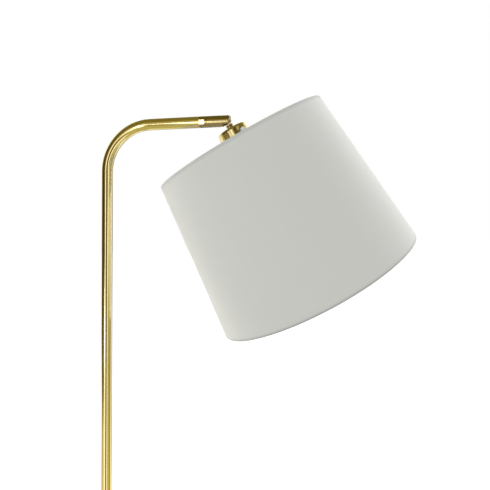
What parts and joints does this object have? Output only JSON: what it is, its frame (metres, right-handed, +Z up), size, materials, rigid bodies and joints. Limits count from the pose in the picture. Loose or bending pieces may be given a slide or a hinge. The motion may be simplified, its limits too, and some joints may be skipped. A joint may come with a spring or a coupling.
{
  "type": "arc floor lamp",
  "caption": "Floor lamp with a round weighted base, a slim pole bent over into a short arm, a swivel and tilt knuckle, and a tapered drum shade with a turn switch.",
  "frame": {"origin": "centre of the base pad where it rests on the floor, on the pole axis", "axes": "+Z up the pole, +X along the arm toward the shade"},
  "size_m": [0.5708, 0.3299, 1.5626],
  "materials": {
    "brushed_brass": "satin brushed and lacquered",
    "brass_fitting": "polished and lacquered",
    "brass_contact": "bare",
    "brass_plated_steel": "satin brass plating on steel tube",
    "zinc_steel": "bright zinc plating",
    "cast_iron": "as cast, black paint",
    "foam_pad": "closed-cell foam",
    "black_nylon": "moulded",
    "white_phenolic": "moulded",
    "nickel_knob": "satin nickel, knurled",
    "shade_fabric": "fine plain weave",
    "shade_liner": "translucent laminate",
    "white_wire": "white powder coat",
    "bulb_glass": "frosted",
    "bulb_cap": "rolled"
  },
  "bodies": {
    "stand": {"base_cover": "brass_plated_steel", "base_nipple": "zinc_steel", "base_nut": "zinc_steel", "base_pad": "foam_pad", "base_washer": "zinc_steel", "base_weight": "cast_iron", "cord_gland": "black_nylon", "lower_joint_nipple": "zinc_steel", "lower_tube": "brass_plated_steel", "lower_tube_foot_insert": "zinc_steel", "lower_tube_top_insert": "zinc_steel", "middle_tube": "brass_plated_steel", "middle_tube_foot_insert": "zinc_steel", "middle_tube_top_insert": "zinc_steel", "swivel_collar": "brass_fitting", "upper_joint_nipple": "zinc_steel", "upper_tube": "brass_plated_steel", "upper_tube_foot_insert": "zinc_steel"},
    "knuckle": {"knuckle_body": "brass_fitting", "swivel_spring_washer": "zinc_steel", "swivel_nut": "zinc_steel", "pivot_screw": "brass_fitting", "friction_washers": "zinc_steel"},
    "head": {"tilt_lever": "brass_fitting", "socket_cup": "brass_fitting", "cup_lock_nut": "zinc_steel", "lampholder_cap": "white_phenolic", "lampholder_barrel": "white_phenolic", "screw_shell": "brass_contact", "centre_contact": "brass_contact", "switch_body": "white_phenolic", "shade_ring": "white_phenolic", "bulb_base": "bulb_cap", "bulb_globe": "bulb_glass", "shade_spider": "white_wire", "shade_top_wire": "white_wire", "shade_bottom_wire": "white_wire", "shade_liner": "shade_liner", "shade_fabric": "shade_fabric", "shade_top_binding": "shade_fabric", "shade_bottom_binding": "shade_fabric"},
    "knob": {"switch_knob": "nickel_knob"}
  },
  "joints": [
    {"name": "head_swivel", "type": "hinge", "parent": "stand", "child": "knuckle", "pos_m": [0.1518, 0, 1.53], "axis": [1, 0, 0], "range_deg": [-175, 150]},
    {"name": "head_tilt", "type": "hinge", "parent": "knuckle", "child": "head", "pos_m": [0.18, 0, 1.53], "axis": [0, -0.9767, -0.2147], "range_deg": [-27.7, 60]},
    {"name": "switch_turn", "type": "hinge", "parent": "head", "child": "knob", "pos_m": [0.19139, 0.00466, 1.50881], "axis": [0.5924, -0.7926, 0.1442], "continuous": true}
  ]
}
